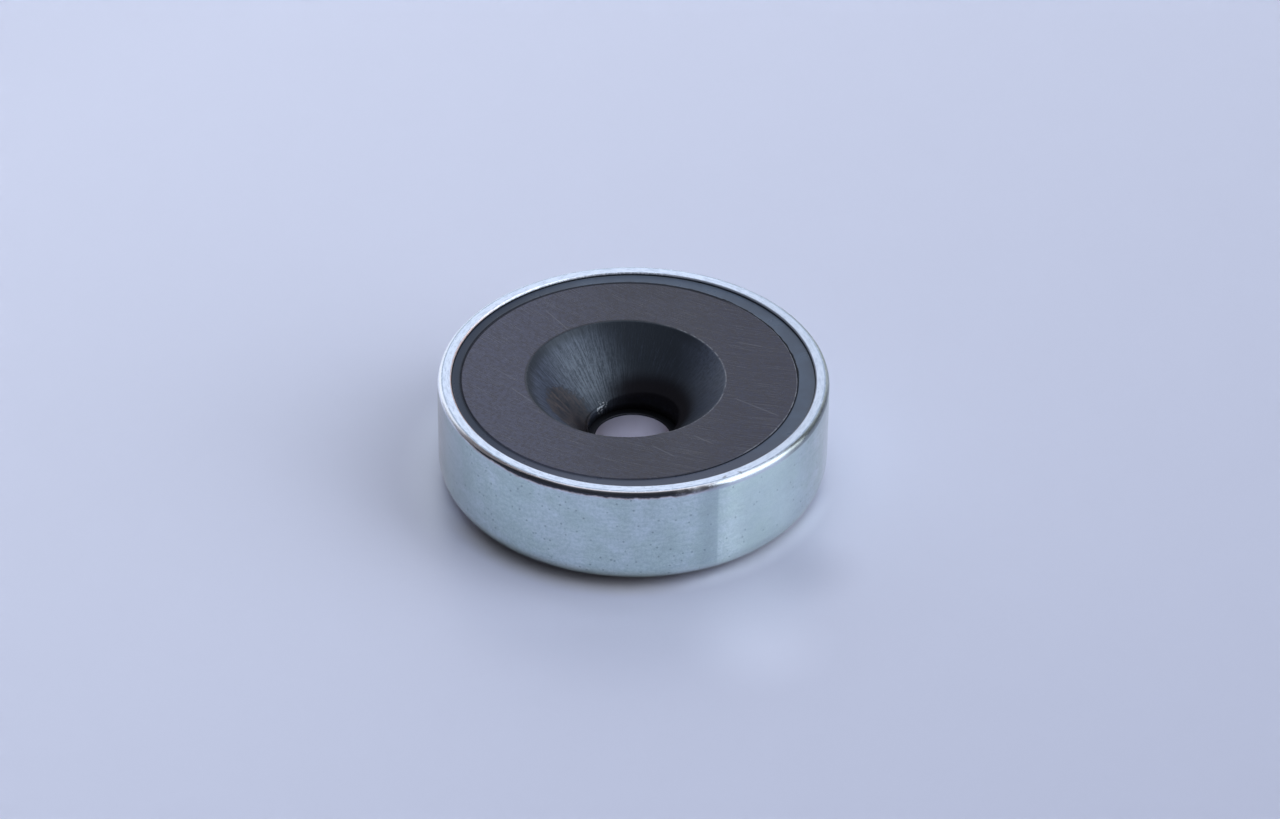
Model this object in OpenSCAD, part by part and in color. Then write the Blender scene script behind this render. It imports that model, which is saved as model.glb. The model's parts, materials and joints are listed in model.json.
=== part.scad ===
// Countersunk pot magnet: a turned steel cup, a ring magnet seated on its floor
// and the resin that holds the magnet in place.
// The origin is the middle of the cup's underside, with +Z towards the holding face.

/* [Cup] */
// Outer diameter of the cup
cup_d = 20; // [18:0.5:24]
// Height of the cup, from its underside to the rim
cup_h = 6; // [5.6:0.1:8]
// Thickness of the cup's wall
wall = 0.7; // [0.5:0.05:1]
// Thickness of the cup's floor
floor_t = 2.2; // [1.8:0.1:2.5]
// Outer radius between the wall and the underside
corner_r = 1.5; // [0.8:0.1:2]
// Radius of the rim's outer edge
rim_r = 0.2; // [0.1:0.05:0.3]
// Chamfer of the rim's inner edge
rim_chamfer = 0.08; // [0.04:0.02:0.14]
// Radius inside, between the wall and the floor
inner_r = 0.3; // [0.1:0.05:0.35]

/* [Screw hole] */
// Diameter of the hole through the cup's floor
hole_d = 3.9; // [3.4:0.1:4.4]
// Chamfer at both ends of the hole
hole_chamfer = 0.1; // [0.05:0.05:0.2]

/* [Magnet] */
// Mean gap between the magnet and the cup's wall, filled with resin
magnet_gap = 0.7; // [0.6:0.05:1]
// How far the magnet sits off the cup's axis, towards -X
magnet_shift = 0.23; // [0:0.01:0.25]
// Depth of the magnet's face below the rim
face_drop = 0.12; // [0.08:0.02:0.3]
// Diameter of the countersink at the magnet's face
sink_d = 10.2; // [9:0.1:11]
// Full angle of the countersink
sink_angle = 90; // [84:1:100]
// How far the countersink sits off the cup's axis, towards -X
sink_shift = 0.4; // [0:0.02:0.4]
// Radial clearance of the magnet's bore round the screw hole
bore_clear = 0.41; // [0.3:0.05:0.6]

/* [Resin] */
// Depth of the resin's surface below the magnet's face
resin_drop = 0.06; // [0.02:0.02:0.2]

/* [Hidden] */
$fn = 144;
// How far a cut runs past the face that it opens
over = 1;
cup_r = cup_d / 2;
cavity_r = cup_r - wall;
hole_r = hole_d / 2;
magnet_r = cavity_r - magnet_gap;
magnet_t = cup_h - floor_t - face_drop;
face_z = floor_t + magnet_t;
bore_r = hole_r + bore_clear;
sink_r = sink_d / 2;
sink_slope = tan(sink_angle / 2);
sink_depth = sink_r / sink_slope;
resin_z = face_z - resin_drop;

// What a fillet of radius r takes off a square corner. The corner is at the origin,
// and the material lies towards +X and +Y.
module fillet_cut(r) {
  difference() {
    translate([-over, -over]) square(r + over);
    translate([r, r]) circle(r);
  }
}

// Half section of the cup's cavity, with the rounding at its floor, up to height top
module cavity_section(top) {
  difference() {
    translate([0, floor_t]) square([cavity_r, top - floor_t]);
    translate([cavity_r, floor_t]) mirror([1, 0]) fillet_cut(inner_r);
  }
}

// Half section of the cup before its hole is made
module cup_section() {
  difference() {
    square([cup_r, cup_h]);
    cavity_section(cup_h + over);
    translate([cup_r, 0]) mirror([1, 0]) fillet_cut(corner_r);
    translate([cup_r, cup_h]) rotate(180) fillet_cut(rim_r);
    translate([cavity_r, cup_h]) rotate(45) square(rim_chamfer * sqrt(2), center = true);
  }
}

// A round hole up to height t, with a chamfer c at both of its ends
module chamfered_hole(r, t, c) {
  translate([0, 0, -over]) cylinder(r = r, h = t + 2 * over);
  translate([0, 0, -over]) cylinder(r1 = r + c + over, r2 = r, h = c + over);
  translate([0, 0, t - c]) cylinder(r1 = r, r2 = r + c + over, h = c + over);
}

// The magnet's outer cylinder, off the cup's axis
module magnet_blank(bottom, top) {
  translate([-magnet_shift, 0, bottom]) cylinder(r = magnet_r, h = top - bottom);
}

// Steel cup with a thick floor, a thin wall and a ground rim
module steel_cup() {
  color([0.62, 0.70, 0.76])
    difference() {
      rotate_extrude() cup_section();
      chamfered_hole(hole_r, floor_t, hole_chamfer);
    }
}

// Ring magnet. Its bore is in line with the cup's hole, where the two were lined up,
// and its rim and its countersink are a little off that axis.
module ferrite_magnet() {
  color([0.25, 0.26, 0.29])
    difference() {
      magnet_blank(floor_t, face_z);
      translate([0, 0, floor_t - over]) cylinder(r = bore_r, h = magnet_t + 2 * over);
      translate([-sink_shift, 0, face_z - sink_depth])
        cylinder(r1 = 0, r2 = sink_r + over * sink_slope, h = sink_depth + over);
    }
}

// Resin that fills the gap round the magnet, a little below its face
module potting_resin() {
  color([0.33, 0.38, 0.44])
    difference() {
      rotate_extrude() cavity_section(resin_z);
      magnet_blank(floor_t - over, cup_h);
    }
}

steel_cup();
ferrite_magnet();
potting_resin();
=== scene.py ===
"""Pot magnet on a plain pale floor: the steel cup, the ring magnet and the resin between them.

Each piece is a class that holds its sizes and builds its own mesh, and each finish is a class
that builds its own material. Sizes are in millimetres and become metres where a mesh is made.
"""
import json
import logging
import math
from dataclasses import dataclass, field
from enum import Enum

import bmesh
import bpy
from mathutils import Matrix, Vector

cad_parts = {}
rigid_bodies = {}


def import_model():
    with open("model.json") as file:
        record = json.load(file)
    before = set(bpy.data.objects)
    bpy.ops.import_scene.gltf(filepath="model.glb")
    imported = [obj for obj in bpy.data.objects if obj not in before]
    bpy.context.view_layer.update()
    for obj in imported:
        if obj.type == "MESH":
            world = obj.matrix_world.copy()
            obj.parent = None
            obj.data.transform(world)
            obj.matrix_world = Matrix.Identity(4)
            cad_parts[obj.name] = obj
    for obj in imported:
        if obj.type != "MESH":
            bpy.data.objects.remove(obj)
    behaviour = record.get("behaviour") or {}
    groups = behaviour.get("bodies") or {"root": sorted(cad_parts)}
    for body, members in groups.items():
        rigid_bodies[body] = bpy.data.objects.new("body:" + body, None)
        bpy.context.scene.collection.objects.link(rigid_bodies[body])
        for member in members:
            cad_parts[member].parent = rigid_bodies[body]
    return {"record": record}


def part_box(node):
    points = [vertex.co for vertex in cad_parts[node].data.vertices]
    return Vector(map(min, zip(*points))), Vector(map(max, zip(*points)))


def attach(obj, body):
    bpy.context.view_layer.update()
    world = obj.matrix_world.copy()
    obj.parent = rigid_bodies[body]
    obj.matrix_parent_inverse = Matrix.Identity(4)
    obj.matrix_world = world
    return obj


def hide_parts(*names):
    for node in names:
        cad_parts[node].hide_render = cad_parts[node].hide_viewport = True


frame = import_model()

LOG = logging.getLogger("pot_magnet")
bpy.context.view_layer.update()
MM = 0.001
BODY = "root"
Socket = bpy.types.NodeSocket
Colour = tuple[float, float, float]


class Side(Enum):
    """The surface of a piece that a station belongs to, which picks how much it wavers."""

    EVEN = 0.0
    WORN = 1.0


@dataclass(frozen=True)
class Station:
    """One ring of a lofted piece.

    Args:
        radius: radius of the ring, in mm.
        height: height of the ring, in mm.
        shift: how far the ring's centre lies towards -X, in mm.
        on_cone: 1 where the countersink's cone sets the height, and 0 elsewhere.
        side: whether the ring wavers as a worn edge does.
    """

    radius: float
    height: float
    shift: float = 0.0
    on_cone: float = 0.0
    side: Side = Side.EVEN


@dataclass(frozen=True)
class Cone:
    """The countersink's cone, which the loft's rings can follow.

    Args:
        shift: how far its axis lies towards -X, in mm.
        apex: height of its apex, in mm.
        rise: height gained for each mm of radius.
    """

    shift: float = 0.0
    apex: float = 0.0
    rise: float = 1.0


class Graph:
    """Adds nodes and links to one node tree, in short calls."""

    def __init__(self, tree: bpy.types.NodeTree) -> None:
        """Start on a tree.

        Args:
            tree: the node tree to fill.
        """
        self.tree = tree

    def node(self, kind: str, **settings: object) -> bpy.types.Node:
        """Add one node.

        Args:
            kind: the node's type name.
            **settings: attributes to set on it.

        Returns:
            The new node.
        """
        node = self.tree.nodes.new(kind)
        for name, value in settings.items():
            setattr(node, name, value)
        return node

    def feed(self, socket: Socket, value: object) -> None:
        """Link a socket to an input, or set the input's own value.

        Args:
            socket: the input.
            value: an output socket, or a plain value.
        """
        if isinstance(value, bpy.types.NodeSocket):
            self.tree.links.new(value, socket)
        elif value is not None:
            socket.default_value = value

    def math(self, operation: str, *values: object) -> Socket:
        """Add a Math node (a ShaderNodeMath works in both kinds of tree).

        Args:
            operation: the node's operation.
            *values: its inputs, in order.

        Returns:
            The result.
        """
        node = self.node("ShaderNodeMath", operation=operation)
        for socket, value in zip(node.inputs, values):
            self.feed(socket, value)
        return node.outputs[0]

    def vector(self, operation: str, *values: object) -> bpy.types.Node:
        """Add a Vector Math node.

        Args:
            operation: the node's operation.
            *values: its inputs, in order.

        Returns:
            The node, because its result is a vector or a number.
        """
        node = self.node("ShaderNodeVectorMath", operation=operation)
        for socket, value in zip(node.inputs, values):
            self.feed(socket, value)
        return node

    def combine(self, x: object, y: object, z: object) -> Socket:
        """Join three numbers into a vector.

        Args:
            x: first part.
            y: second part.
            z: third part.

        Returns:
            The vector.
        """
        node = self.node("ShaderNodeCombineXYZ")
        for socket, value in zip(node.inputs, (x, y, z)):
            self.feed(socket, value)
        return node.outputs[0]

    def ramp(self, value: Socket, low: float, high: float, to_low: float = 0.0, to_high: float = 1.0) -> Socket:
        """Map a range smoothly onto another, clamped at both ends.

        Args:
            value: the number to map.
            low: start of its range.
            high: end of its range.
            to_low: result at the start.
            to_high: result at the end.

        Returns:
            The mapped number.
        """
        node = self.node("ShaderNodeMapRange", interpolation_type="SMOOTHSTEP", clamp=True)
        for socket, item in zip(node.inputs, (value, low, high, to_low, to_high)):
            self.feed(socket, item)
        return node.outputs[0]


class Shader(Graph):
    """A Graph on a new material, with the texture steps that the finishes share."""

    def __init__(self, name: str) -> None:
        """Create the material and its Principled shader.

        Args:
            name: the material's name.
        """
        self.material = bpy.data.materials.new(name)
        self.material.use_nodes = True
        super().__init__(self.material.node_tree)
        self.surface = next(n for n in self.tree.nodes if n.type == "BSDF_PRINCIPLED")
        place = self.node("ShaderNodeTexCoord").outputs["Object"]
        self.place = self.vector("SCALE", place).outputs[0]
        self.place.node.inputs["Scale"].default_value = 1.0 / MM
        split = self.node("ShaderNodeSeparateXYZ")
        self.feed(split.inputs[0], self.place)
        self.x, self.y, self.z = split.outputs

    def set(self, **values: object) -> None:
        """Set or link sockets of the Principled shader.

        Args:
            **values: socket names, with underscores for spaces, and their values.
        """
        for name, value in values.items():
            self.feed(self.surface.inputs[name.replace("_", " ")], value)

    def noise(self, scale: float, detail: float = 2.0, rough: float = 0.5, place: Socket | None = None) -> Socket:
        """Add a noise texture.

        Args:
            scale: waves for each mm of the place.
            detail: its octaves.
            rough: strength of each further octave.
            place: where it is read, or None for the object's own place in mm.

        Returns:
            The noise, from 0 to 1.
        """
        node = self.node("ShaderNodeTexNoise")
        self.feed(node.inputs["Vector"], self.place if place is None else place)
        node.inputs["Scale"].default_value = scale
        node.inputs["Detail"].default_value = detail
        node.inputs["Roughness"].default_value = rough
        return node.outputs["Fac"]

    def specks(self, scale: float, size: float, share: float) -> Socket:
        """Scatter small round specks.

        Args:
            scale: cells for each mm.
            size: radius of a speck, as a share of its cell.
            share: share of the cells that hold one.

        Returns:
            A mask that is 1 on a speck.
        """
        node = self.node("ShaderNodeTexVoronoi")
        self.feed(node.inputs["Vector"], self.place)
        node.inputs["Scale"].default_value = scale
        inside = self.ramp(node.outputs["Distance"], size * 0.5, size, 1.0, 0.0)
        pick = self.node("ShaderNodeSeparateXYZ")
        self.feed(pick.inputs[0], node.outputs["Color"])
        chosen = self.math("LESS_THAN", pick.outputs[0], share)
        return self.math("MULTIPLY", inside, chosen)

    def mix(self, share: object, first: object, second: object) -> Socket:
        """Mix two colours.

        Args:
            share: how much of the second.
            first: the first colour.
            second: the second colour.

        Returns:
            The mixed colour.
        """
        node = self.node("ShaderNodeMix", data_type="RGBA")
        self.feed(node.inputs[0], share)
        for socket, value in ((node.inputs[6], first), (node.inputs[7], second)):
            self.feed(socket, (*value, 1.0) if isinstance(value, tuple) else value)
        return node.outputs[2]

    def blend(self, share: object, first: object, second: object) -> Socket:
        """Mix two numbers.

        Args:
            share: how much of the second.
            first: the first number.
            second: the second number.

        Returns:
            The mixed number.
        """
        node = self.node("ShaderNodeMix", data_type="FLOAT")
        for socket, value in zip((node.inputs[0], node.inputs[2], node.inputs[3]), (share, first, second)):
            self.feed(socket, value)
        return node.outputs[0]

    def away(self, x: float = 0.0, y: float = 0.0) -> Socket:
        """Distance from an upright axis.

        Args:
            x: where the axis stands, in mm.
            y: where the axis stands, in mm.

        Returns:
            The distance, in mm.
        """
        flat = self.combine(self.math("SUBTRACT", self.x, x), self.math("SUBTRACT", self.y, y), 0.0)
        return self.vector("LENGTH", flat).outputs["Value"]

    def near(self, spot: tuple[float, float, float], reach: float, ragged: float = 0.0, scale: float = 5.0,
             fade: float = 0.2) -> Socket:
        """Mask a rounded patch about a point.

        Args:
            spot: the point, in mm.
            reach: radius of the patch, in mm.
            ragged: how far its edge wanders, in mm.
            scale: waves of the edge for each mm.
            fade: share of the reach over which it fades.

        Returns:
            A mask that is 1 in the patch.
        """
        distance = self.vector("LENGTH", self.vector("SUBTRACT", self.place, spot).outputs[0]).outputs["Value"]
        if ragged:
            distance = self.math("ADD", distance, self.ramp(self.noise(scale, 3.0, 0.7), 0.3, 0.7, -ragged, ragged))
        return self.ramp(distance, reach * (1.0 - fade), reach, 1.0, 0.0)

    def band(self, value: Socket, low: float, high: float, soft: float) -> Socket:
        """Mask a range of a number.

        Args:
            value: the number.
            low: start of the range.
            high: end of the range.
            soft: how wide each end fades.

        Returns:
            A mask that is 1 in the range.
        """
        return self.math("MULTIPLY", self.ramp(value, low - soft, low), self.ramp(value, high, high + soft, 1.0, 0.0))

    def scratch(self, start: tuple[float, float], end: tuple[float, float], width: float) -> Socket:
        """Mask one straight scratch seen from above.

        Args:
            start: one end, in mm.
            end: the other end, in mm.
            width: its width, in mm.

        Returns:
            A mask that is 1 in the scratch.
        """
        run, rise = end[0] - start[0], end[1] - start[1]
        length = math.hypot(run, rise)
        flat = self.vector("SUBTRACT", self.combine(self.x, self.y, 0.0), (*start, 0.0)).outputs[0]
        along = self.vector("DOT_PRODUCT", flat, (run / length, rise / length, 0.0)).outputs["Value"]
        across = self.vector("DOT_PRODUCT", flat, (-rise / length, run / length, 0.0)).outputs["Value"]
        thin = self.ramp(self.math("ABSOLUTE", across), width * 0.3, width, 1.0, 0.0)
        return self.math("MULTIPLY", thin, self.band(along, 0.0, length, 0.25))

    def around(self, centre_x: float, centre_y: float, across: float, along: float) -> Socket:
        """Coordinates that follow circles about a point, for arced or radial marks.

        Args:
            centre_x: the point, in mm.
            centre_y: the point, in mm.
            across: scale from circle to circle, for each mm.
            along: scale along a circle, for each radian.

        Returns:
            The place to read a texture at.
        """
        dx = self.math("SUBTRACT", self.x, centre_x)
        dy = self.math("SUBTRACT", self.y, centre_y)
        distance = self.vector("LENGTH", self.combine(dx, dy, 0.0)).outputs["Value"]
        angle = self.math("ARCTAN2", dy, dx)
        return self.combine(self.math("MULTIPLY", distance, across), self.math("MULTIPLY", angle, along), self.z)

    def bump(self, height: Socket, depth: float, strength: float = 1.0, below: Socket | None = None) -> Socket:
        """Turn a height into a surface normal.

        Args:
            height: the height, from 0 to 1.
            depth: how deep 1 is, in mm.
            strength: how much of it shows.
            below: the normal of a coarser bump under this one.

        Returns:
            The normal.
        """
        node = self.node("ShaderNodeBump")
        self.feed(node.inputs["Height"], height)
        self.feed(node.inputs["Normal"], below)
        node.inputs["Distance"].default_value = depth * MM
        node.inputs["Strength"].default_value = strength
        return node.outputs[0]


@dataclass(frozen=True)
class ZincPlate:
    """Bright zinc with a thin blue-green passivation, satin on the side and ground on the rim, with painted reflections
    and painted shade.

    Args:
        clear: colour of the plate where the film is thin.
        film: colour where the film is thicker.
        glance: tint of what it mirrors at a glancing angle.
        ground: colour of the ground rim.
        shoulder_dark_reflection: painted dark reflection on the rim's rounded outer edge, at the front.
        fringe: colour of the brownish line below that edge.
        broken: colour of the rim's broken inner edge.
        hole: colour of the hole's wall.
        ledge_shade: painted shade on the cup's floor around the hole.
        land_height: height of the ground rim, in mm.
        hole_lip: height below which the hole's wall is clean, in mm.
        nicks: where the rim is nicked, in mm.
    """

    clear: Colour = (0.76, 0.90, 0.92)
    film: Colour = (0.68, 0.84, 0.82)
    glance: Colour = (1.0, 0.90, 0.88)
    ground: Colour = (0.73, 0.82, 0.99)
    shoulder_dark_reflection: Colour = (0.07, 0.075, 0.09)
    fringe: Colour = (0.46, 0.38, 0.36)
    broken: Colour = (0.40, 0.44, 0.52)
    hole: Colour = (0.97, 0.92, 0.96)
    ledge_shade: Colour = (0.028, 0.030, 0.038)
    land_height: float = 6.0
    hole_lip: float = 2.11
    nicks: tuple[tuple[float, float], ...] = ((4.62, -8.55), (5.40, -8.12), (9.57, -2.62))

    def build(self) -> bpy.types.Material:
        """Build the material.

        Returns:
            The material.
        """
        s = Shader("zinc_plate")
        away = s.away()
        top = self.land_height
        land = s.ramp(s.z, top - 0.03, top - 0.004)
        grain = s.noise(9.0, 3.0, 0.75)
        tint = self._side(s, grain)
        wander = s.ramp(s.noise(1.3, 4.0, 0.7), 0.3, 0.7, -0.05, 0.05)
        level = s.math("SUBTRACT", s.z, s.ramp(s.x, -9.0, -4.8, 0.16, 0.0))
        height = s.math("ADD", level, wander)
        outer = s.math("MULTIPLY", s.ramp(away, 9.5, 9.65), s.ramp(s.y, -5.8, -3.8, 1.0, 0.0))
        outer = s.math("MULTIPLY", outer, s.ramp(s.math("ADD", s.x, s.math("MULTIPLY", wander, 14.0)), 2.2, 4.5, 1.0, 0.0))
        edge = s.math("MULTIPLY", s.ramp(away, 9.5, 9.65), s.ramp(level, top - 0.42, top - 0.32))
        # Painted reflection on the rim's rounded outer edge: light on the left, darker towards the right.
        rounding_reflection = s.mix(s.ramp(s.x, 2.6, 4.0), (0.88, 0.92, 1.0), (0.50, 0.56, 0.64))
        rounding_reflection = s.mix(s.ramp(s.x, 7.2, 8.2), rounding_reflection, (0.30, 0.34, 0.35))
        tint = s.mix(edge, tint, rounding_reflection)
        tint = s.mix(s.math("MULTIPLY", outer, s.ramp(height, top - 0.38, top - 0.31, 0.0, 0.75)), tint, self.fringe)
        # Painted dark reflection along the front of the rim's rounded outer edge.
        outer = s.math("MULTIPLY", outer, s.ramp(s.math("ADD", s.z, s.ramp(s.x, -9.0, -4.0, 0.10, 0.0)),
                                                 top - 0.05, top - 0.02, 1.0, 0.0))
        tint = s.mix(s.math("MULTIPLY", outer, s.ramp(height, top - 0.31, top - 0.26)), tint, self.shoulder_dark_reflection)
        inner = s.math("MULTIPLY", s.ramp(away, 9.45, 9.55, 1.0, 0.0), s.ramp(away, 3.5, 4.0))
        # Painted glints on the worn inner edge of the rim at the back left, broken up by noise.
        worn_glints = s.math("MULTIPLY", s.ramp(s.noise(9.0, 2.0), 0.42, 0.66, 0.1, 0.75),
                        s.ramp(s.math("SUBTRACT", s.y, s.x), 5.0, 9.0))
        lip = s.mix(s.ramp(s.x, -8.8, -6.5), (0.95, 0.74, 0.70), self.broken)
        tint = s.mix(inner, tint, s.mix(worn_glints, lip, (0.86, 0.90, 0.98)))
        # Painted shade on the cup's inner wall just above the resin: near black, pinkish on the left.
        below = s.math("MULTIPLY", inner, s.ramp(s.z, top - 0.13, top - 0.09, 1.0, 0.0))
        tint = s.mix(below, tint, s.mix(s.ramp(s.x, -8.6, -7.0), (0.34, 0.26, 0.26), (0.10, 0.12, 0.15)))

        inside = s.math("MULTIPLY", s.ramp(away, 2.9, 3.0, 1.0, 0.0), s.ramp(s.z, 0.2, 0.5))
        # Painted shade in the hole: its wall darker higher up and towards the right.
        bore = s.mix(s.ramp(s.z, 0.8, self.hole_lip, 0.0, 1.0), self.hole, tuple(c * 0.68 for c in self.hole))
        tint = s.mix(inside, tint, s.mix(s.ramp(s.x, 0.2, 1.8, 0.0, 0.5), bore, tuple(c * 0.4 for c in self.hole)))
        # Painted shade, near black, on the cup's floor around the hole and on the hole's top edge.
        mouth = s.math("MAXIMUM", s.ramp(away, 1.955, 1.97), s.ramp(s.z, self.hole_lip - 0.01, self.hole_lip + 0.01))
        tint = s.mix(s.math("MULTIPLY", inside, mouth), tint, self.ledge_shade)

        tint = s.mix(land, tint, self._ground(s))
        for x, y in self.nicks:
            nick = s.near((x, y, top - 0.05), 0.15, 0.10, 6.0, 0.6)
            tint = s.mix(s.math("MULTIPLY", nick, 0.7), tint, (0.20, 0.22, 0.26))
        s.set(Base_Color=tint, Metallic=1.0, Specular_Tint=s.mix(edge, self.glance, (1.0, 1.0, 1.0)))
        rough = s.blend(land, s.ramp(s.noise(0.8, 3.0), 0.3, 0.7, 0.22, 0.27), s.ramp(s.noise(3.0, 3.0), 0.3, 0.7, 0.28, 0.44))
        rough = s.blend(s.math("MULTIPLY", inner, s.math("SUBTRACT", 1.0, land)), rough, 0.5)
        s.set(Roughness=s.blend(inside, rough, 0.45))
        turned = s.math("MULTIPLY", s.ramp(away, 9.6, 9.8), s.math("SUBTRACT", 1.0, land))
        s.set(Anisotropic=s.math("MULTIPLY", turned, 0.97), Anisotropic_Rotation=0.25)
        s.set(Tangent=s.node("ShaderNodeTangent", direction_type="RADIAL", axis="Z").outputs[0])
        marks = s.noise(1.0, 3.0, 0.6, s.around(-14.0, 9.0, 12.0, 14.0))
        coarse = s.bump(s.math("MULTIPLY", marks, land), 0.012)
        s.set(Normal=s.bump(grain, 0.0004, 1.0, coarse))
        return s.material

    def _side(self, s: Shader, grain: Socket) -> Socket:
        """Colour of the plated side: a cloudy film, fine grain and sparse pits, with a painted reflection at its far
        left edge and painted shade in upright bands.

        Args:
            s: the shader.
            grain: the fine noise that the plate shares.

        Returns:
            The colour.
        """
        cloud = s.noise(0.4, 3.0, 0.6)
        tint = s.mix(s.ramp(cloud, 0.38, 0.62), self.clear, self.film)
        tint = s.mix(s.ramp(grain, 0.42, 0.70, 0.0, 0.22), tint, (0.42, 0.53, 0.56))
        # Painted reflection at the far left edge, seen at a glancing angle, and painted shade towards the left, where
        # the side mirrors the shadowed floor.
        tint = s.mix(s.ramp(s.x, -9.95, -9.2, 0.8, 0.0), tint, (0.62, 0.57, 0.58))
        tint = s.mix(s.ramp(s.x, -9.4, -7.0, 0.5, 0.0), tint, (0.42, 0.53, 0.56))
        # Painted shade in two upright bands: one ending where the mirrored key light starts, one dimming that light
        # further right.
        before = s.math("MULTIPLY", s.ramp(s.x, 2.9, 3.9), s.ramp(s.x, 4.24, 4.36, 0.55, 0.0))
        reflection_shade = s.math("MAXIMUM", before, s.math("MULTIPLY", s.band(s.x, 6.0, 7.8, 1.6), 0.60))
        tint = s.mix(reflection_shade, tint, (0.42, 0.53, 0.56))
        drawn = s.noise(1.0, 3.0, 0.6, s.combine(s.math("MULTIPLY", s.x, 0.8), 0.0, s.math("MULTIPLY", s.z, 5.0)))
        tint = s.mix(s.ramp(drawn, 0.42, 0.62, 0.0, 0.22), tint, (0.42, 0.53, 0.56))
        weave = s.noise(5.5, 4.0, 0.9)
        tint = s.mix(s.ramp(weave, 0.42, 0.60, 0.0, 0.40), tint, (0.42, 0.53, 0.56))
        pits = s.specks(2.4, 0.17, 0.9)
        return s.mix(s.math("MULTIPLY", pits, 0.55), tint, (0.16, 0.22, 0.24))

    def _ground(self, s: Shader) -> Socket:
        """Colour of the ground rim: fine rings, specks and a few nicks, a little darker towards the right, with a
        painted dark reflection in a thin line at the outer edge.

        Args:
            s: the shader.

        Returns:
            The colour.
        """
        rings = s.noise(1.0, 3.0, 0.75, s.around(0.0, 0.0, 8.0, 16.0))
        ground = s.mix(s.ramp(s.x, 3.0, 8.5), self.ground, tuple(c * 0.85 for c in self.ground))
        tint = s.mix(s.ramp(rings, 0.44, 0.62, 0.0, 0.50), ground, (0.42, 0.50, 0.63))
        tint = s.mix(s.math("MULTIPLY", s.specks(5.0, 0.17, 0.22), 0.55), tint, (0.18, 0.22, 0.28))
        # Painted dark reflection in a thin line where the rim's land turns into its rounded edge.
        line = s.math("MULTIPLY", s.band(s.away(), 9.75, 9.80, 0.03), s.ramp(s.noise(4.0, 2.0), 0.30, 0.50, 0.2, 0.9))
        return s.mix(line, tint, (0.34, 0.42, 0.55))


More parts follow.
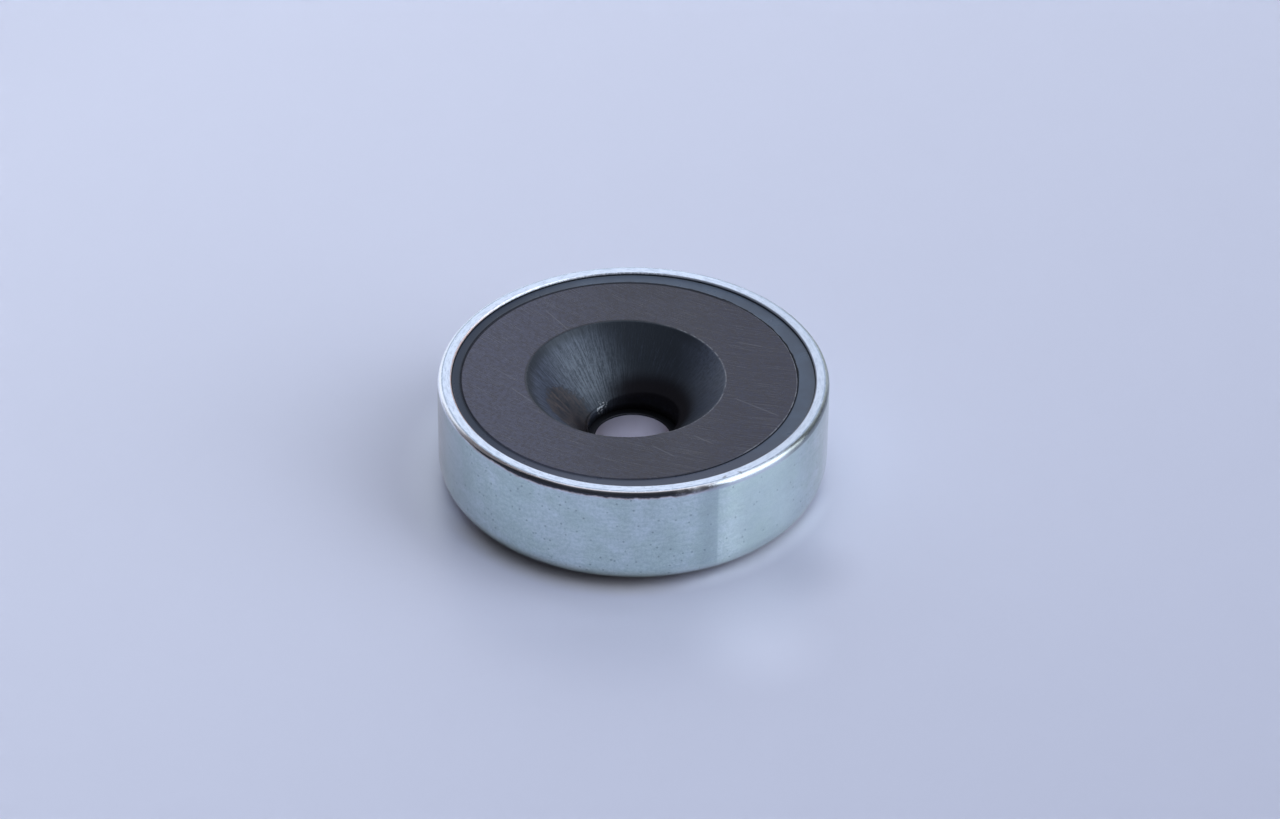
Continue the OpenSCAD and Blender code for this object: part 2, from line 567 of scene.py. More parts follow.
@dataclass(frozen=True)
class Ferrite:
    """Sintered ferrite: a ground face with arced scratches, and a pressed, streaked countersink.

    Args:
        face: colour of the ground face.
        grain: colour of the brownish grain in the face.
        scratch_and_highlight: colour of a fresh scratch, and of the painted highlight on the ring's and the
            countersink's right edges.
        pressed: colour of the pressed countersink.
        streak: colour of its lighter streaks.
        skin: colour of the bluish skin on its right.
        rust: colour of the brownish patch low on its left.
        foot_shade_colour: painted shade on its foot, next to the bore.
        face_height: height of the face, in mm.
        radius: outer radius of the ring, in mm.
        shift: how far the ring lies towards -X, in mm.
        sink: radius of the countersink at the face, in mm.
        sink_shift: how far the countersink lies towards -X, in mm.
        scratches: the longest scratches, each as two ends in mm.
    """

    face: Colour = (0.034, 0.037, 0.064)
    grain: Colour = (0.018, 0.013, 0.013)
    scratch_and_highlight: Colour = (0.17, 0.18, 0.21)
    pressed: Colour = (0.007, 0.009, 0.015)
    streak: Colour = (0.027, 0.034, 0.053)
    skin: Colour = (0.066, 0.080, 0.128)
    rust: Colour = (0.070, 0.054, 0.051)
    foot_shade_colour: Colour = (0.012, 0.011, 0.014)
    face_height: float = 5.88
    radius: float = 8.6
    shift: float = 0.23
    sink: float = 5.1
    sink_shift: float = 0.4
    scratches: tuple[tuple[tuple[float, float], tuple[float, float]], ...] = (
        ((5.28, -1.76), (7.22, -3.06)), ((-4.52, 5.8), (-3.5, 4.33)), ((-6.1, -1.1), (-5.2, -2.1)),
        ((1.1, -5.9), (2.0, -6.6)), ((3.2, -5.0), (3.9, -5.5)), ((5.5, 3.2), (6.5, 2.9)),
    )

    def build(self) -> bpy.types.Material:
        """Build the material.

        Returns:
            The material.
        """
        s = Shader("ground_ferrite")
        fine = s.noise(5.5, 4.0, 0.8)
        arcs = s.noise(1.0, 3.0, 0.7, s.around(11.0, 22.0, 26.0, 10.0))
        cross = s.noise(1.0, 3.0, 0.7, s.around(20.0, 11.0, 20.0, 16.0))
        lines = s.math("ADD", s.ramp(arcs, 0.54, 0.74), s.math("MULTIPLY", s.ramp(cross, 0.60, 0.78), 0.8))
        streaks = s.noise(1.0, 3.0, 0.75, s.around(-self.sink_shift, 0.0, 0.7, 36.0))
        from_cone = s.away(-self.sink_shift, 0.0)
        face = s.math("MULTIPLY", s.ramp(s.z, self.face_height - 0.05, self.face_height - 0.015),
                      s.ramp(from_cone, self.sink - 0.03, self.sink + 0.03))
        foot = self._foot_shade_mask(s)
        s.set(Specular_IOR_Level=s.blend(face, s.ramp(foot, 0.0, 1.0, 0.45, 0.05), s.ramp(self._seam_shade(s), 0.0, 1.0, 0.5, 0.12)))
        s.set(Base_Color=s.mix(face, self._cone(s, streaks, fine, foot), self._face(s, lines, fine)),
              IOR=1.53, Specular_Tint=s.mix(face, (0.70, 0.84, 1.0), (0.90, 0.91, 1.0)))
        face_rough = s.ramp(arcs, 0.35, 0.75, 0.58, 0.42)
        cone_rough = s.ramp(streaks, 0.3, 0.7, 0.52, 0.34)
        s.set(Roughness=s.blend(face, cone_rough, face_rough))
        height = s.blend(face, s.math("MULTIPLY", streaks, 0.9), s.math("MULTIPLY", lines, 0.6))
        s.set(Normal=s.bump(fine, 0.004, 0.8, s.bump(height, 0.02, 0.8)))
        return s.material

    def _face(self, s: Shader, lines: Socket, fine: Socket) -> Socket:
        """Colour of the ground face, a little paler on the left, with a painted highlight on its right edges, painted
        shade along the countersink on the left, and a dark joint line deepened by painted shade at its outer edge.

        Args:
            s: the shader.
            lines: the fine scratches.
            fine: the fine grain.

        Returns:
            The colour.
        """
        cloud = s.noise(0.6, 3.0, 0.6)
        tint = s.mix(s.ramp(cloud, 0.3, 0.7), self.face, tuple(c * 0.80 for c in self.face))
        tint = s.mix(s.ramp(s.x, 2.5, 6.0), tint, (0.022, 0.025, 0.052))
        tint = s.mix(s.ramp(s.x, -7.5, 1.0, 1.0, 0.0), tint, tuple(c * 1.7 for c in self.face))
        tint = s.mix(s.ramp(fine, 0.35, 0.65, 0.0, 0.6), tint, self.grain)
        tint = s.mix(s.math("MULTIPLY", lines, 0.36), tint, self.scratch_and_highlight)
        for start, end in self.scratches:
            tint = s.mix(s.math("MULTIPLY", s.scratch(start, end, 0.045), 0.34), tint, self.scratch_and_highlight)
        # Painted highlight along the ring's outer edge and the countersink's edge on the right, broken up like wear.
        worn = s.ramp(s.noise(2.2, 3.0, 0.7), 0.35, 0.6)
        rim = s.math("MULTIPLY", s.ramp(s.away(-self.shift), self.radius - 0.07, self.radius - 0.03), worn)
        brow = s.math("MULTIPLY", s.ramp(s.away(-self.sink_shift), self.sink + 0.03, self.sink + 0.07, 1.0, 0.0), worn)
        right = s.ramp(s.x, 0.0, 3.0)
        rim = s.math("MULTIPLY", rim, s.ramp(s.x, 4.5, 6.5))
        tint = s.mix(s.math("MAXIMUM", rim, s.math("MULTIPLY", brow, right)), tint, self.scratch_and_highlight)
        # Dark joint line at the face's outer edge, deepened by painted shade.
        tint = s.mix(s.math("MULTIPLY", self._seam_shade(s), 0.85), tint, self.pressed)
        # Painted shade along the countersink's edge on the left.
        left = s.math("MULTIPLY", s.ramp(s.away(-self.sink_shift), self.sink + 0.02, self.sink + 0.12, 1.0, 0.0),
                      s.math("SUBTRACT", 1.0, right))
        return s.mix(s.math("MULTIPLY", left, 0.8), tint, self.pressed)

    def _seam_shade(self, s: Shader) -> Socket:
        """Mask of the dark line along the outer edge of the face, strongest at the back and left: a joint line deepened
        by painted shade.

        Args:
            s: the shader.

        Returns:
            A mask that is 1 on the line.
        """
        narrowing = s.ramp(s.y, 0.0, 5.0, 0.08, 0.0)
        line = s.ramp(s.math("SUBTRACT", s.away(-self.shift), narrowing), self.radius - 0.19, self.radius - 0.13)
        faint = s.ramp(s.y, -7.0, -2.0)
        return s.math("MULTIPLY", s.math("MULTIPLY", line, faint), s.ramp(s.x, 4.0, 6.0, 1.0, 0.0))

    @staticmethod
    def _foot_shade_mask(s: Shader) -> Socket:
        """Mask of the painted shade on the cone's matt foot, weaker on the left where light falls on it.

        Args:
            s: the shader.

        Returns:
            A mask that is 1 at the bore.
        """
        low = s.math("MAXIMUM", s.ramp(s.x, -2.2, 0.2, 0.2, 1.0), s.ramp(s.y, -0.8, 1.0, 0.9, 0.0))
        return s.math("MULTIPLY", s.ramp(s.away(), 2.6, 3.45, 1.0, 0.0), low)

    def _cone(self, s: Shader, streaks: Socket, fine: Socket, foot: Socket) -> Socket:
        """Colour of the pressed countersink: dark and streaked, bluish right, brownish low on the left, with painted
        light, a painted highlight and a painted glint on the left, and painted shade at its foot and along its
        back-left edge.

        Args:
            s: the shader.
            streaks: the noise that runs down the cone.
            fine: the fine grain.
            foot: mask of the painted shade on the cone's foot.

        Returns:
            The colour.
        """
        tint = s.mix(s.ramp(streaks, 0.48, 0.72, 0.0, 0.8), self.pressed, self.streak)
        tint = s.mix(s.ramp(fine, 0.4, 0.65, 0.0, 0.6), tint, self.pressed)
        skin = s.math("MULTIPLY", s.ramp(fine, 0.30, 0.66, 0.35, 1.0), s.ramp(s.x, 1.8, 5.0))
        tint = s.mix(skin, tint, self.skin)
        rays = s.math("ADD", s.math("MULTIPLY", streaks, 0.65), s.math("MULTIPLY", fine, 0.35))
        # Painted light on the lit left wall, and a painted highlight higher up on it.
        pale = tuple(c * 1.25 for c in self.skin)
        painted_light = s.math("MULTIPLY", s.ramp(rays, 0.38, 0.60, 0.2, 0.9), s.ramp(s.x, -3.6, -0.4, 0.60, 0.0))
        tint = s.mix(painted_light, tint, pale)
        lit = s.math("MULTIPLY", s.near((-2.4, 2.6, 4.1), 3.0, fade=0.95), s.ramp(rays, 0.40, 0.60, 0.15, 1.0))
        tint = s.mix(lit, tint, (0.100, 0.122, 0.156))
        patch = s.near((-3.1, -0.25, 3.7), 1.95, 0.20, 4.0, 0.25)
        patch = s.ramp(s.math("ADD", patch, s.ramp(rays, 0.35, 0.6, -0.3, 0.3)), 0.42, 0.58)
        tint = s.mix(s.math("MULTIPLY", patch, 0.9), tint, s.mix(s.ramp(rays, 0.42, 0.56, 0.0, 0.95), self.rust, self.pressed))
        # Painted shade on the cone's foot, next to the bore.
        tint = s.mix(foot, tint, self.foot_shade_colour)
        # Painted shade just below the countersink's top edge at the back and left.
        brow = s.math("MULTIPLY", s.ramp(s.away(-self.sink_shift), self.sink - 0.55, self.sink - 0.1, 0.0, 0.9),
                      s.ramp(s.math("SUBTRACT", s.y, s.x), -1.5, 1.5))
        tint = s.mix(brow, tint, self.pressed)
        # Painted glint low on the back left, at the bore's edge.
        glint = s.math("MULTIPLY", s.near((-1.58, 1.62, 2.72), 0.34, 0.16, 8.0, 0.3), s.ramp(s.noise(7.0), 0.5, 0.6))
        return s.mix(glint, tint, (0.42, 0.46, 0.52))


@dataclass(frozen=True)
class Resin:
    """Blue-grey cast resin with a soft sheen, dark where it meets the cup and the magnet: joints deepened by painted
    shade.

    Args:
        colour: its colour.
        deep: its colour where it is darker.
        darker_left: its colour on the left, where it is darker.
        joint_and_shade: colour of the lines where it meets the other pieces: dark joints deepened by painted shade.
        outer: radius of the cup's cavity, in mm.
        inner: radius of the magnet, in mm.
        shift: how far the magnet lies towards -X, in mm.
    """

    colour: Colour = (0.040, 0.068, 0.120)
    deep: Colour = (0.034, 0.055, 0.098)
    darker_left: Colour = (0.023, 0.034, 0.060)
    joint_and_shade: Colour = (0.006, 0.008, 0.012)
    outer: float = 9.3
    inner: float = 8.6
    shift: float = 0.23

    def build(self) -> bpy.types.Material:
        """Build the material.

        Returns:
            The material.
        """
        s = Shader("cast_resin")
        cloud = s.noise(0.7, 3.0, 0.6)
        fine = s.noise(6.0, 3.0, 0.6)
        tint = s.mix(s.ramp(cloud, 0.35, 0.65), self.colour, self.deep)
        tint = s.mix(s.ramp(s.x, -7.0, -1.0, 1.0, 0.0), tint, self.darker_left)
        tint = s.mix(s.ramp(s.y, -7.5, -4.0, 0.8, 0.0), tint, (0.034, 0.042, 0.078))
        # Dark joint lines at the cup's wall and at the magnet, deepened by painted shade; stronger on the right at the
        # magnet.
        width = 0.05
        wall = s.ramp(s.math("ADD", s.away(), width), self.outer - 0.03, self.outer + 0.03)
        far = s.ramp(s.math("ADD", s.x, s.y), 7.0, 9.0)
        wander = s.math("MULTIPLY", s.ramp(s.noise(1.6, 3.0, 0.7), 0.40, 0.65, 0.0, 0.05), far)
        gap = s.math("SUBTRACT", s.away(-self.shift), wander)
        joint_and_shade = s.math("MULTIPLY", s.ramp(gap, self.inner + 0.03, self.inner + 0.10, 1.0, 0.0), s.ramp(s.x, -2.0, 5.0, 0.5, 1.0))
        joint_and_shade = s.math("MAXIMUM", wall, joint_and_shade)
        s.set(Base_Color=s.mix(joint_and_shade, tint, self.joint_and_shade), Roughness=s.ramp(cloud, 0.3, 0.7, 0.26, 0.34))
        shine = s.math("MULTIPLY", s.ramp(joint_and_shade, 0.0, 1.0, 1.0, 0.1), s.ramp(s.x, -8.0, -2.0, 0.2, 0.5))
        s.set(Specular_IOR_Level=shine, Normal=s.bump(fine, 0.0008, 0.5))
        return s.material


@dataclass(frozen=True)
class Tabletop:
    """Pale lavender sheet with a soft gloss, with painted shade towards the right and the front, and painted light and
    shadow beside the cup.

    Args:
        light: colour at the far left.
        dim: colour at the near right.
        lifted: colour beside the cup, where the bright plate lights the sheet.
        contact_shade: painted contact shadow around the front of the cup's foot.
        reach: distance from the middle at which each is reached, in mm.
        soak: how far light spreads inside the sheet, in mm.
    """

    light: Colour = (0.66, 0.695, 0.865)
    dim: Colour = (0.465, 0.493, 0.64)
    lifted: Colour = (0.79, 0.84, 1.0)
    contact_shade: Colour = (0.44, 0.43, 0.47)
    reach: float = 45.0
    soak: float = 0.4

    def build(self) -> bpy.types.Material:
        """Build the material.

        Returns:
            The material.
        """
        s = Shader("pale_tabletop")
        # Painted shade: the sheet darkens from the far left towards the near right.
        across = s.math("SUBTRACT", s.math("MULTIPLY", s.x, 0.8), s.math("MULTIPLY", s.y, 0.6))
        node = s.node("ShaderNodeMapRange", clamp=True)
        for socket, value in zip(node.inputs, (across, -self.reach, self.reach, 0.0, 1.0)):
            s.feed(socket, value)
        tint = s.mix(node.outputs[0], self.light, self.dim)
        # Painted shadow on the sheet beside the cup's front right.
        tint = s.mix(s.near((8.8, -8.2, 0.0), 3.6, fade=1.0), tint, tuple(c * 0.97 for c in self.dim))
        # Painted light on the sheet further in front, where light mirrored off the cup's side falls.
        tint = s.mix(s.math("MULTIPLY", s.near((6.3, -14.2, 0.0), 4.5, fade=1.0), 0.6), tint, self.light)
        left = s.math("MULTIPLY", s.ramp(s.away(), 10.0, 12.5, 1.0, 0.0), s.ramp(s.x, -10.6, -8.6, 0.8, 0.0))
        right = s.math("MULTIPLY", s.ramp(s.away(), 9.7, 10.7, 0.7, 0.0),
                       s.ramp(s.math("SUBTRACT", s.x, s.y), 11.5, 13.5))
        tint = s.mix(s.math("MAXIMUM", left, right), tint, self.lifted)
        # Painted contact shadow around the front of the cup's foot.
        under = s.math("MULTIPLY", s.ramp(s.y, -6.0, -3.5, 1.0, 0.0), s.ramp(s.x, -1.0, 4.5, 1.0, 0.0))
        under = s.math("MULTIPLY", under, s.ramp(s.away(), 9.4, 10.9, 1.0, 0.0))
        tint = s.mix(under, tint, self.contact_shade)
        s.set(Base_Color=tint, Roughness=0.30, IOR=1.5)
        s.surface.subsurface_method = "BURLEY"
        s.set(Subsurface_Weight=1.0, Subsurface_Scale=self.soak * MM, Subsurface_Radius=(1.0, 1.0, 1.0))
        return s.material


class LoftTree:
    """Geometry Nodes that loft a row of rings into a closed skin.

    The object that carries it holds one vertex for each ring: x is the ring's radius, y its shift
    towards -X and z its height. The tree lays a grid over them and closes it.
    """

    PLACES = ("NodeSocketGeometry", "Geometry")
    INPUTS = (
        ("NodeSocketInt", "Rings"),
        ("NodeSocketInt", "Segments"),
        ("NodeSocketFloat", "Cone Shift"),
        ("NodeSocketFloat", "Cone Apex"),
        ("NodeSocketFloat", "Cone Rise"),
        ("NodeSocketFloat", "Waver"),
        ("NodeSocketMaterial", "Finish"),
    )

    def __init__(self) -> None:
        """Build the node group."""
        self.tree = bpy.data.node_groups.new("ring_loft", "GeometryNodeTree")
        face = self.tree.interface
        face.new_socket("Geometry", in_out="INPUT", socket_type="NodeSocketGeometry")
        self.ids = {}
        for kind, name in self.INPUTS:
            self.ids[name] = face.new_socket(name, in_out="INPUT", socket_type=kind).identifier
        face.new_socket("Geometry", in_out="OUTPUT", socket_type="NodeSocketGeometry")
        self._wire()

    def _wire(self) -> None:
        """Add the nodes and their links."""
        g = Graph(self.tree)
        given = g.node("NodeGroupInput").outputs
        grid = g.node("GeometryNodeMeshGrid")
        g.feed(grid.inputs["Vertices X"], g.math("ADD", given["Segments"], 1.0))
        g.feed(grid.inputs["Vertices Y"], given["Rings"])
        split = g.node("ShaderNodeSeparateXYZ")
        g.feed(split.inputs[0], g.node("GeometryNodeInputPosition").outputs[0])
        turn = g.math("MULTIPLY", g.math("ADD", split.outputs[0], 0.5), math.tau)
        last = g.math("SUBTRACT", given["Rings"], 1.0)
        ring = g.math("ROUND", g.math("MULTIPLY", g.math("ADD", split.outputs[1], 0.5), last))

        place = self._sample(g, given["Geometry"], g.node("GeometryNodeInputPosition").outputs[0], ring, "FLOAT_VECTOR")
        parts = g.node("ShaderNodeSeparateXYZ")
        g.feed(parts.inputs[0], place)
        radius, shift, height = parts.outputs
        cone = self._attribute(g, given["Geometry"], "on_cone", ring)
        worn = self._attribute(g, given["Geometry"], "worn", ring)

        cosine, sine = g.math("COSINE", turn), g.math("SINE", turn)
        noise = g.node("ShaderNodeTexNoise")
        g.feed(noise.inputs["Vector"], g.combine(cosine, sine, g.math("MULTIPLY", ring, 0.013)))
        noise.inputs["Scale"].default_value = 7.0
        noise.inputs["Detail"].default_value = 5.0
        swing = g.math("MULTIPLY", g.math("SUBTRACT", noise.outputs["Fac"], 0.8), given["Waver"])
        swing = g.math("MULTIPLY", swing, worn)
        radius = g.math("ADD", radius, swing)
        x = g.math("SUBTRACT", g.math("MULTIPLY", radius, cosine), shift)
        y = g.math("MULTIPLY", radius, sine)

        away = g.vector("LENGTH", g.combine(g.math("ADD", x, given["Cone Shift"]), y, 0.0)).outputs["Value"]
        slope = g.math("ADD", given["Cone Apex"], g.math("MULTIPLY", away, given["Cone Rise"]))
        height = g.math("ADD", height, g.math("MULTIPLY", cone, g.math("SUBTRACT", slope, height)))

        moved = g.node("GeometryNodeSetPosition")
        g.feed(moved.inputs["Geometry"], grid.outputs["Mesh"])
        g.feed(moved.inputs["Position"], g.combine(x, y, height))
        closed = g.node("GeometryNodeMergeByDistance")
        g.feed(closed.inputs["Geometry"], moved.outputs[0])
        closed.inputs["Distance"].default_value = 2e-7
        smooth = g.node("GeometryNodeSetShadeSmooth")
        g.feed(smooth.inputs["Geometry"], closed.outputs[0])
        dressed = g.node("GeometryNodeSetMaterial")
        g.feed(dressed.inputs["Geometry"], smooth.outputs[0])
        g.feed(dressed.inputs["Material"], given["Finish"])
        whole = g.node("GeometryNodeRealizeInstances")
        g.feed(whole.inputs["Geometry"], dressed.outputs[0])
        g.feed(g.node("NodeGroupOutput").inputs[0], whole.outputs[0])

    @staticmethod
    def _sample(g: Graph, source: Socket, value: Socket, index: Socket, kind: str) -> Socket:
        """Read a value at one ring's vertex.

        Args:
            g: the graph.
            source: the geometry with a vertex for each ring.
            value: the value to read.
            index: the ring's number.
            kind: the value's data type.

        Returns:
            The value.
        """
        node = g.node("GeometryNodeSampleIndex", data_type=kind, domain="POINT")
        g.feed(node.inputs["Geometry"], source)
        g.feed(node.inputs["Value"], value)
        g.feed(node.inputs["Index"], index)
        return node.outputs[0]

    @classmethod
    def _attribute(cls, g: Graph, source: Socket, name: str, index: Socket) -> Socket:
        """Read a named number at one ring's vertex.

        Args:
            g: the graph.
            source: the geometry with a vertex for each ring.
            name: the attribute's name.
            index: the ring's number.

        Returns:
            The number.
        """
        named = g.node("GeometryNodeInputNamedAttribute", data_type="FLOAT")
        named.inputs["Name"].default_value = name
        return cls._sample(g, source, named.outputs[0], index, "FLOAT")

    def skin(self, name: str, rings: list[Station], segments: int, cone: Cone, waver: float,
             finish: bpy.types.Material) -> bpy.types.Object:
        """Loft a row of rings and bake it to a plain mesh.

        Args:
            name: the new object's name.
            rings: the rings, the first one repeated at the end.
            segments: points round each ring.
            cone: the cone that the rings on it follow.
            waver: how far a worn edge wavers, in mm.
            finish: its material.

        Returns:
            The finished object, at the origin.
        """
        mesh = bpy.data.meshes.new(name)
        mesh.from_pydata([(r.radius * MM, r.shift * MM, r.height * MM) for r in rings], [], [])
        for key, values in (("on_cone", [r.on_cone for r in rings]), ("worn", [r.side.value for r in rings])):
            mesh.attributes.new(key, "FLOAT", "POINT").data.foreach_set("value", values)
        carrier = bpy.data.objects.new(name, mesh)
        bpy.context.scene.collection.objects.link(carrier)
        loft = carrier.modifiers.new("loft", "NODES")
        loft.node_group = self.tree
        values = (len(rings), segments, cone.shift * MM, cone.apex * MM, cone.rise, waver * MM, finish)
        for (_, label), value in zip(self.INPUTS, values):
            loft[self.ids[label]] = value
        return bake(carrier)


def bake(carrier: bpy.types.Object) -> bpy.types.Object:
    """Replace an object's modifiers by the plain mesh that they make, with its faces outwards.

    Args:
        carrier: the object.

    Returns:
        The same object.
    """
    graph = bpy.context.evaluated_depsgraph_get()
    result = bpy.data.meshes.new_from_object(carrier.evaluated_get(graph), depsgraph=graph)
    carrier.modifiers.clear()
    carrier.data = result
    work = bmesh.new()
    work.from_mesh(result)
    bmesh.ops.recalc_face_normals(work, faces=work.faces)
    work.to_mesh(result)
    work.free()
    result.update()
    return carrier


def arc(centre: tuple[float, float], radius: float, start: float, end: float, steps: int,
        side: Side = Side.EVEN) -> list[Station]:
    """Rings along a round edge of a section.

    Args:
        centre: the arc's centre, as radius and height, in mm.
        radius: its radius, in mm.
        start: angle where it starts, in degrees from the outward direction.
        end: angle where it ends.
        steps: number of steps between.
        side: whether it wavers.

    Returns:
        The rings.
    """
    turns = [math.radians(start + (end - start) * i / steps) for i in range(steps + 1)]
    return [Station(centre[0] + radius * math.cos(t), centre[1] + radius * math.sin(t), side=side) for t in turns]


def between(first: Station, last: Station, count: int) -> list[Station]:
    """Rings spread evenly between two others.

    Args:
        first: the ring before them.
        last: the ring after them.
        count: how many.

    Returns:
        The rings, without the two.
    """
    def mid(a: float, b: float, t: float) -> float:
        """Value at share t between a and b."""
        return a + (b - a) * t

    shares = [i / (count + 1) for i in range(1, count + 1)]
    return [Station(mid(first.radius, last.radius, t), mid(first.height, last.height, t),
                    mid(first.shift, last.shift, t), first.on_cone) for t in shares]


@dataclass
class SteelCup:
    """The zinc-plated cup: thick floor, thin wall, ground rim, rounded lower corner.

    Args:
        corner: radius of the lower corner, in mm.
        rim_round: radius of the rim's outer edge, in mm.
        rim_chamfer: chamfer of the rim's inner edge, in mm.
        inner_round: radius inside, at the floor, in mm.
        hole_chamfer: chamfer at both ends of the hole, in mm.
        floor_top: height of the floor's upper face, in mm.
        cavity: radius of the cavity, in mm.
        hole: radius of the hole, in mm.
        waver: how far the worn rim edge wavers, in mm.
        segments: points round each ring.
    """

    corner: float = 1.5
    rim_round: float = 0.28
    rim_chamfer: float = 0.08
    inner_round: float = 0.3
    hole_chamfer: float = 0.04
    floor_top: float = field(default_factory=lambda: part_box("ferrite_magnet")[0][2] / MM)
    cavity: float = field(default_factory=lambda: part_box("potting_resin")[1][0] / MM)
    hole: float = field(default_factory=lambda: frame["record"]["mounts"][0]["dims"]["r_mm"])
    waver: float = 0.02
    segments: int = 384

    def rings(self) -> list[Station]:
        """Work out the section.

        Returns:
            Its rings, closed.
        """
        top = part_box("steel_cup")[1]
        radius, height = top[0] / MM, top[2] / MM
        near = 0.02
        under = [Station(self.hole + self.hole_chamfer, 0.0), Station(self.hole + self.hole_chamfer + near, 0.0),
                 Station(radius - self.corner - near, 0.0)]
        corner = arc((radius - self.corner, self.corner), self.corner, -90.0, 0.0, 18)
        wall = [Station(radius, self.corner + (height - self.rim_round - self.corner) * i / 5) for i in range(1, 5)]
        lip = arc((radius - self.rim_round, height - self.rim_round), self.rim_round, 0.0, 90.0, 10, Side.WORN)
        land = [Station(radius - self.rim_round - near, height, side=Side.WORN),
                Station(self.cavity + self.rim_chamfer + near, height),
                Station(self.cavity + self.rim_chamfer, height, side=Side.WORN)]
        inner = [Station(self.cavity, height - self.rim_chamfer, side=Side.WORN),
                 Station(self.cavity, height - self.rim_chamfer - near)]
        root = arc((self.cavity - self.inner_round, self.floor_top + self.inner_round), self.inner_round, 0.0, -90.0, 6)
        floor = [Station(self.cavity - self.inner_round - near, self.floor_top),
                 Station(self.hole + self.hole_chamfer + near, self.floor_top),
                 Station(self.hole + self.hole_chamfer, self.floor_top),
                 Station(self.hole + self.hole_chamfer * 0.3, self.floor_top - self.hole_chamfer * 0.3),
                 Station(self.hole, self.floor_top - self.hole_chamfer)]
        bore = [Station(self.hole, self.floor_top - self.hole_chamfer - near),
                Station(self.hole, self.hole_chamfer + near), Station(self.hole, self.hole_chamfer)]
        return under + corner + wall + lip + land + inner + root + floor + bore + under[:1]

    def build(self, loft: LoftTree) -> bpy.types.Object:
        """Build and dress the cup.

        Args:
            loft: the tree that lofts rings.

        Returns:
            The piece.
        """
        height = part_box("steel_cup")[1][2] / MM
        finish = ZincPlate(land_height=height).build()
        return loft.skin("cup_shell", self.rings(), self.segments, Cone(), self.waver, finish)


@dataclass
class RingMagnet:
    """The ferrite ring, with its bore on the cup's axis and its countersink a little off it.

    Args:
        bore: radius of the bore, in mm.
        sink: radius of the countersink at the face, in mm.
        sink_angle: full angle of the countersink, in degrees.
        sink_shift: how far the countersink lies towards -X, in mm.
        edge: size of the broken edges at the face, in mm.
        waver: how far a worn edge wavers, in mm.
        segments: points round each ring.
    """

    bore: float = 2.36
    sink: float = 5.1
    sink_angle: float = 90.0
    sink_shift: float = 0.4
    edge: float = 0.035
    waver: float = 0.03
    segments: int = 320

    def rings(self, cone: Cone) -> list[Station]:
        """Work out the section.

        Args:
            cone: the countersink's cone.

        Returns:
            Its rings, closed.
        """
        low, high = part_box("ferrite_magnet")
        radius = (high[0] - low[0]) / 2 / MM
        shift = -(high[0] + low[0]) / 2 / MM
        bottom, face = low[2] / MM, high[2] / MM
        near = 0.03
        under = [Station(self.bore, bottom), Station(self.bore + near, bottom), Station(radius - near, bottom, shift)]
        wall = [Station(radius, bottom, shift), Station(radius, bottom + near, shift),
                Station(radius, face - self.edge - near, shift), Station(radius, face - self.edge, shift, side=Side.WORN)]
        rim = Station(radius - self.edge, face, shift, side=Side.WORN)
        brow = Station(self.sink + self.edge + near, face, self.sink_shift)
        top = [rim, Station(radius - self.edge - near, face, shift),
               *between(Station(radius - self.edge - near, face, shift), brow, 6), brow,
               Station(self.sink + self.edge, face, self.sink_shift)]
        lip = Station(self.sink - self.edge, face, self.sink_shift, 1.0)
        throat = Station(self.bore + 0.05, face, 0.0, 1.0)
        slope = [lip, Station(self.sink - self.edge - near, face, self.sink_shift, 1.0),
                 *between(lip, throat, 16), throat, Station(self.bore + 0.01, face, 0.0, 1.0)]
        hidden = [Station(self.bore, bottom + 0.75), Station(self.bore, bottom + 0.4), Station(self.bore, bottom)]
        return under + wall + top + slope + hidden

    def build(self, loft: LoftTree) -> bpy.types.Object:
        """Build and dress the magnet.

        Args:
            loft: the tree that lofts rings.

        Returns:
            The piece.
        """
        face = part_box("ferrite_magnet")[1][2] / MM
        rise = 1.0 / math.tan(math.radians(self.sink_angle / 2))
        cone = Cone(self.sink_shift, face - self.sink * rise, rise)
        finish = Ferrite(face_height=face, sink=self.sink, sink_shift=self.sink_shift).build()
        return loft.skin("ring_magnet", self.rings(cone), self.segments, cone, self.waver, finish)


@dataclass
class ResinRing:
    """The resin between the magnet and the cup, drawn up a little at both walls.

    Args:
        creep: how far it climbs each wall, in mm.
        reach: how far from a wall the climb starts, in mm.
        inner_round: radius at the cup's floor, in mm.
        segments: points round each ring.
    """

    creep: float = 0.05
    reach: float = 0.16
    inner_round: float = 0.3
    segments: int = 320

    def rings(self) -> list[Station]:
        """Work out the section.

        Returns:
            Its rings, closed.
        """
        low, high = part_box("potting_resin")
        magnet_low, magnet_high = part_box("ferrite_magnet")
        outer = high[0] / MM
        inner = (magnet_high[0] - magnet_low[0]) / 2 / MM
        shift = -(magnet_high[0] + magnet_low[0]) / 2 / MM
        bottom, level = low[2] / MM, high[2] / MM
        root = arc((outer - self.inner_round, bottom + self.inner_round), self.inner_round, -90.0, 0.0, 4)
        steps = 4
        outside = [Station(outer - self.reach * (i / steps), level + self.creep * (1 - i / steps) ** 2)
                   for i in range(steps + 1)]
        inside = [Station(inner + self.reach * (1 - i / steps), level + self.creep * 0.6 * (i / steps) ** 2, shift)
                  for i in range(steps + 1)]
        start = Station(inner, bottom, shift)
        return [start, *root, Station(outer, level), *outside, *inside, Station(inner, level, shift), start]

    def build(self, loft: LoftTree) -> bpy.types.Object:
        """Build and dress the resin.

        Args:
            loft: the tree that lofts rings.

        Returns:
            The piece.
        """
        return loft.skin("resin_ring", self.rings(), self.segments, Cone(), 0.0, Resin().build())


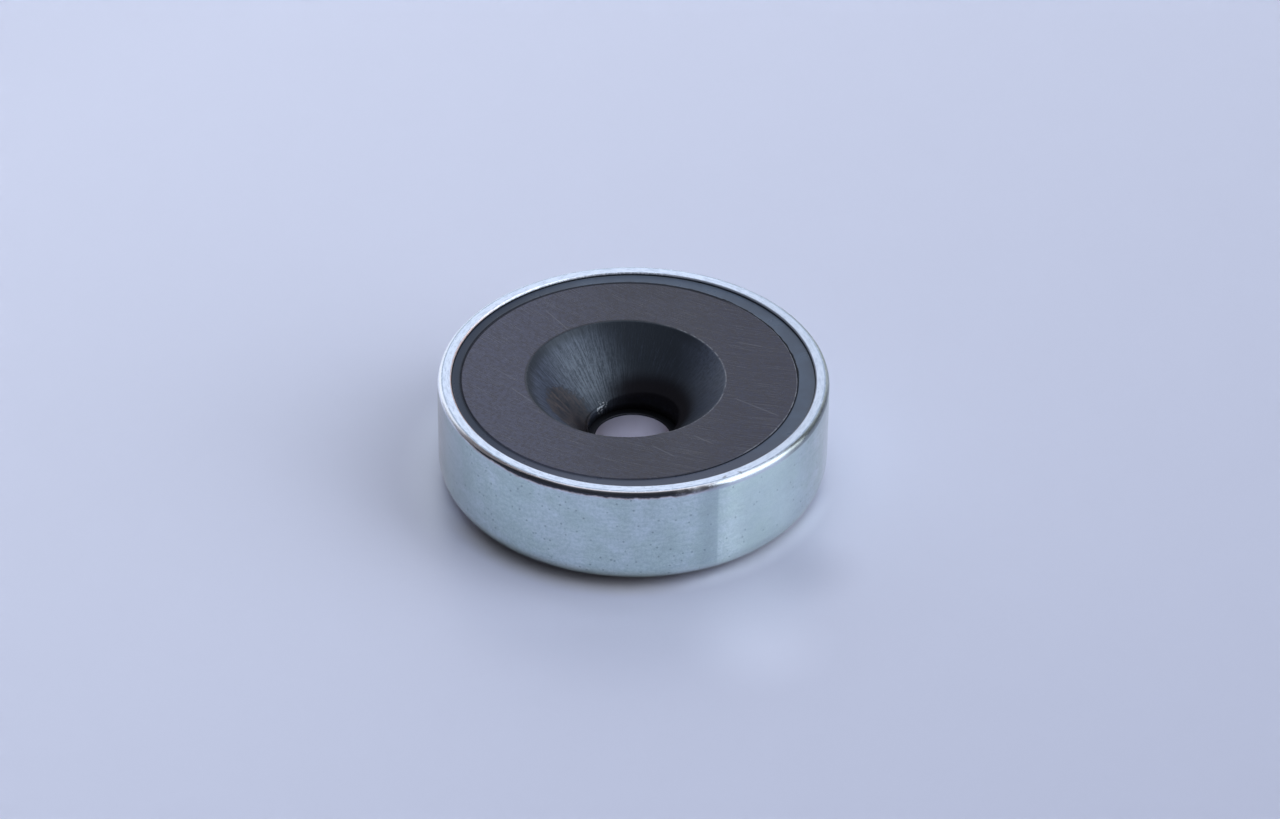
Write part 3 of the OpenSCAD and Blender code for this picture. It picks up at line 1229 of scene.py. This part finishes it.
@dataclass(frozen=True)
class SoftBox:
    """A soft rectangular light.

    Args:
        name: its name.
        azimuth: direction it stands in, in degrees from the viewer's side towards +X.
        elevation: its height above the floor, in degrees.
        distance: its distance, in metres.
        width: its width, in metres.
        height: its height, in metres.
        level: its brightness, where 1 shows as white.
        lean: how far it looks down, in degrees, or None where it faces the part.
        colour: its colour.
    """

    name: str
    azimuth: float
    elevation: float
    distance: float
    width: float
    height: float
    level: float
    lean: float | None = None
    colour: Colour = (0.93, 0.97, 1.02)

    def hang(self) -> bpy.types.Object:
        """Add the light.

        Returns:
            The light.
        """
        data = bpy.data.lights.new(self.name, "AREA")
        data.shape = "RECTANGLE"
        data.size, data.size_y = self.width, self.height
        data.energy = self.level * math.pi * self.width * self.height
        data.color = self.colour
        lamp = bpy.data.objects.new(self.name, data)
        away = self._towards(self.elevation)
        back = away if self.lean is None else self._towards(self.lean)
        lamp.matrix_world = Matrix.Translation(away * self.distance) @ back.to_track_quat("Z", "Y").to_matrix().to_4x4()
        bpy.context.scene.collection.objects.link(lamp)
        return lamp

    def _towards(self, elevation: float) -> Vector:
        """Direction in which the light stands, at one elevation in degrees."""
        turn, rise = math.radians(self.azimuth), math.radians(elevation)
        return Vector((math.sin(turn) * math.cos(rise), -math.cos(turn) * math.cos(rise), math.sin(rise)))


@dataclass
class Studio:
    """The floor, the lights and the camera.

    Args:
        floor_half: half the floor's width, in metres.
        ambient: brightness of the room.
        boxes: the soft lights.
    """

    floor_half: float = 1.5
    ambient: float = 0.26
    boxes: tuple[SoftBox, ...] = (
        SoftBox("right_softbox", 79.0, 46.4, 0.87, 0.61, 1.10, 2.75, 0.0),
        SoftBox("back_softbox", 185.0, 27.0, 0.90, 1.90, 0.90, 0.82),
        SoftBox("top_softbox", 180.0, 87.0, 0.80, 0.70, 0.70, 1.36),
    )

    def lay_floor(self) -> None:
        """Add the floor that the part rests on."""
        mesh = bpy.data.meshes.new("floor")
        h = self.floor_half
        mesh.from_pydata([(-h, -h, 0.0), (h, -h, 0.0), (h, h, 0.0), (-h, h, 0.0)], [], [(0, 1, 2, 3)])
        mesh.materials.append(Tabletop().build())
        floor = bpy.data.objects.new("floor", mesh)
        bpy.context.scene.collection.objects.link(floor)

    def light(self) -> None:
        """Hang the lights and set the room's own light."""
        for box in self.boxes:
            box.hang()
        world = bpy.data.worlds.new("room")
        world.use_nodes = True
        ground = world.node_tree.nodes["Background"]
        ground.inputs["Color"].default_value = (0.86, 0.90, 1.0, 1.0)
        ground.inputs["Strength"].default_value = self.ambient
        bpy.context.scene.world = world


@dataclass(frozen=True)
class Viewpoint:
    """The camera, as worked out from the rim, the outline and the hole in the photograph.

    Args:
        elevation: height of the view above the floor, in degrees.
        distance: distance from the middle of the rim's plane, in cup radii.
        right: how far it stands to the right, in cup radii.
        up: how far it stands above that line of sight, in cup radii.
        roll: turn about the line of sight, in degrees.
        focal_px: focal length in pixels of the photograph.
        image_width: width of the photograph in pixels.
        sensor: width of the sensor, in mm.
    """

    elevation: float = 36.05
    distance: float = 26.0
    right: float = 0.035
    up: float = -0.171
    roll: float = 0.64
    focal_px: float = 5100.0
    image_width: float = 1280.0
    sensor: float = 36.0

    def place(self) -> None:
        """Add the camera and make it the scene's."""
        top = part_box("steel_cup")[1]
        radius = top[0]
        rise, roll = math.radians(self.elevation), math.radians(self.roll)
        ahead = Vector((0.0, math.cos(rise), -math.sin(rise)))
        above = Vector((0.0, math.sin(rise), math.cos(rise)))
        beside = Vector((1.0, 0.0, 0.0))
        spot = Vector((0.0, 0.0, top[2])) + radius * (self.right * beside + self.up * above - self.distance * ahead)
        x_axis = beside * math.cos(roll) + above * math.sin(roll)
        y_axis = above * math.cos(roll) - beside * math.sin(roll)
        data = bpy.data.cameras.new("camera")
        data.sensor_width = self.sensor
        data.lens = self.focal_px * self.sensor / self.image_width
        data.clip_start, data.clip_end = 0.01, 10.0
        camera = bpy.data.objects.new("camera", data)
        camera.matrix_world = Matrix.Translation(spot) @ Matrix((x_axis, y_axis, -ahead)).transposed().to_4x4()
        bpy.context.scene.collection.objects.link(camera)
        bpy.context.scene.camera = camera


def settle(piece: bpy.types.Object, node: str) -> None:
    """Hide the solid that a finished piece replaces, and attach the piece to the body.

    Args:
        piece: the piece.
        node: the solid that it replaces.
    """
    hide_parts(node)
    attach(piece, BODY)
    LOG.info("%s: %d faces for %s", piece.name, len(piece.data.polygons), node)


def main() -> None:
    """Build every piece, the floor, the lights and the camera."""
    logging.basicConfig(level=logging.INFO, format="%(message)s")
    scene = bpy.context.scene
    scene.view_settings.view_transform = "Standard"
    loft = LoftTree()
    settle(SteelCup().build(loft), "steel_cup")
    settle(RingMagnet().build(loft), "ferrite_magnet")
    settle(ResinRing().build(loft), "potting_resin")
    studio = Studio()
    studio.lay_floor()
    studio.light()
    Viewpoint().place()


if __name__ == "__main__":
    main()
